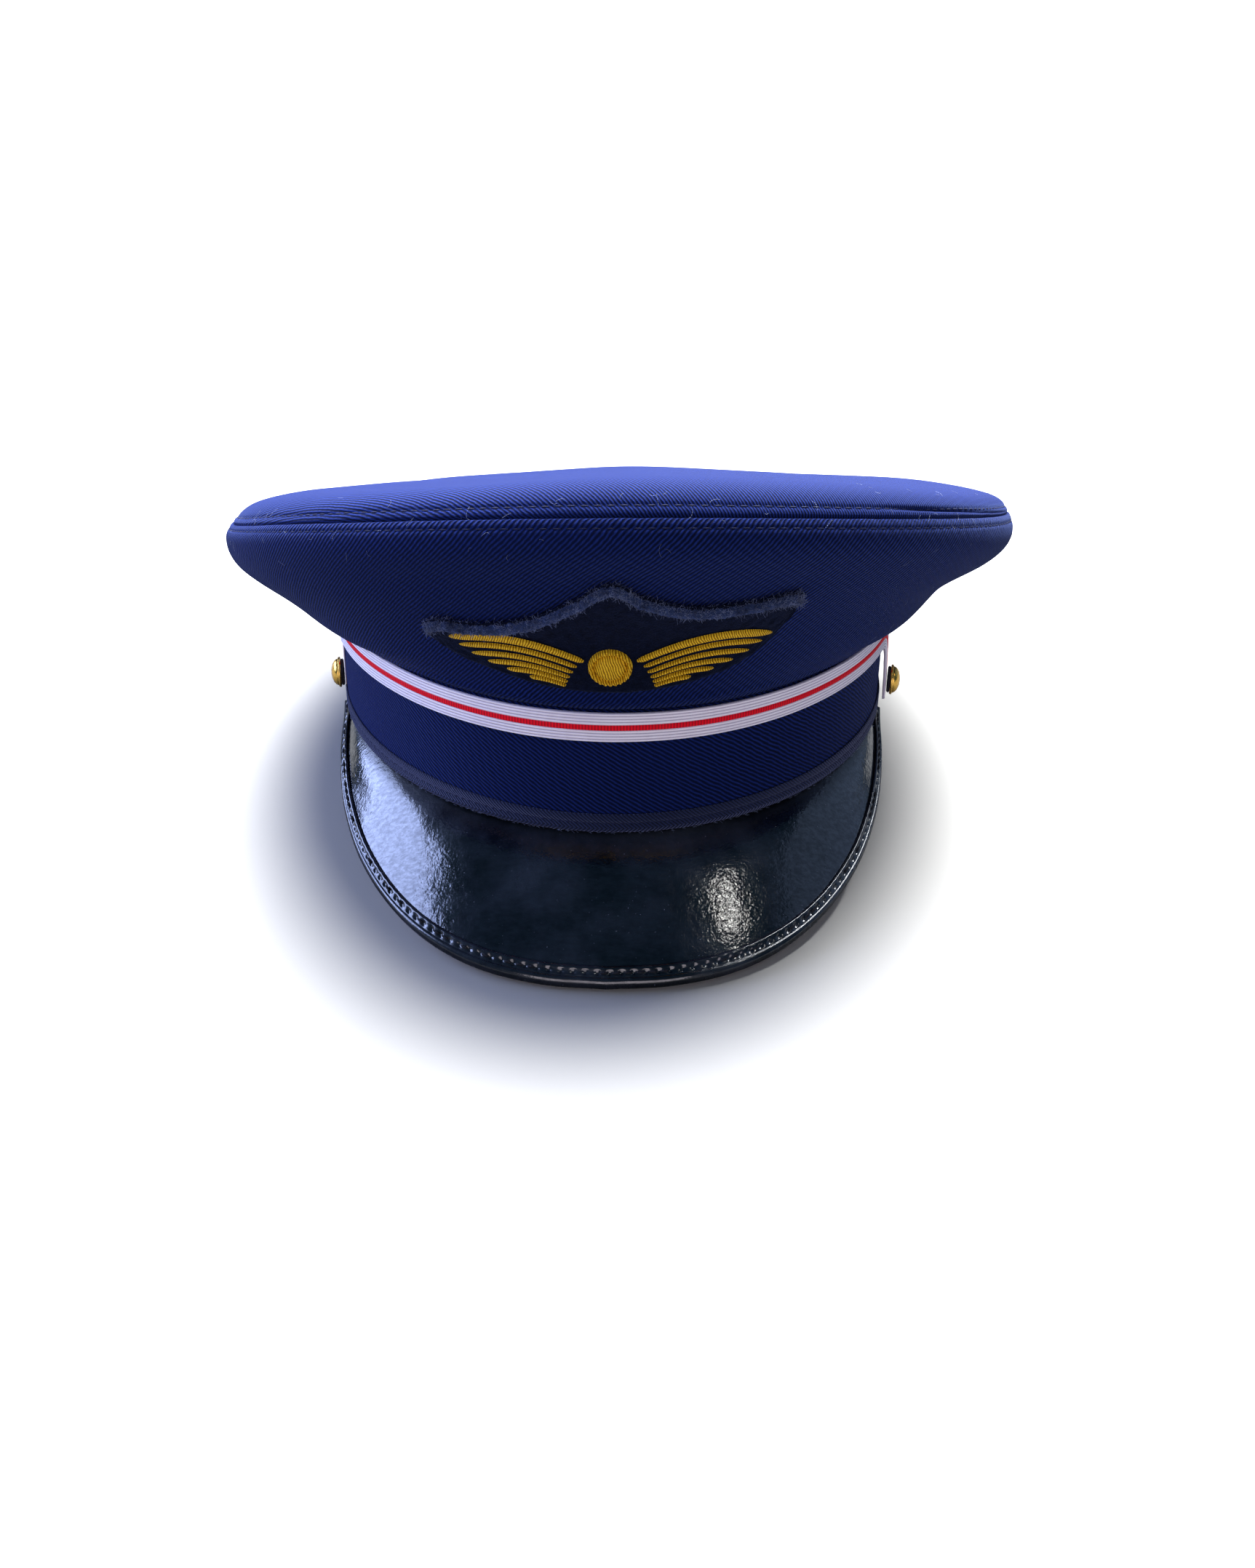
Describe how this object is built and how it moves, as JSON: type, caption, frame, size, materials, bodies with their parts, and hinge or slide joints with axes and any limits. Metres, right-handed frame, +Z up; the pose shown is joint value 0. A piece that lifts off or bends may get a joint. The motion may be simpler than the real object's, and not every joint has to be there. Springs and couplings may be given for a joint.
{
  "type": "officer cap",
  "caption": "Stiff officer cap with a flared crown, a band, a black peak, a striped chin strap and an embroidered badge.",
  "frame": {"origin": "centre of the bounding box's footprint, on the surface that the cap rests on", "axes": "+Z up from that surface, -Y towards the peak, +X to the right of someone who faces the peak"},
  "size_m": [0.2356, 0.2674, 0.1207],
  "materials": {
    "navy_twill": "matt wool twill",
    "hem_tape": "ridged matt tape",
    "strap_braid": "ribbed white braid with a red centre stripe",
    "gilt_brass": "polished gilt",
    "button_washer": "matt felt",
    "patent_black": "glossy patent",
    "badge_felt": "matt felt",
    "gold_thread": "satin-stitched metallic thread"
  },
  "bodies": {
    "root": {"crown_side": "navy_twill", "crown_top": "navy_twill", "band": "navy_twill", "band_hem": "hem_tape", "strap": "strap_braid", "button_left": "gilt_brass", "button_right": "gilt_brass", "button_washer_left": "button_washer", "button_washer_right": "button_washer", "peak": "patent_black", "peak_binding": "patent_black", "badge_patch": "badge_felt", "badge_wing_left": "gold_thread", "badge_wing_right": "gold_thread", "badge_boss": "gold_thread"}
  },
  "joints": []
}
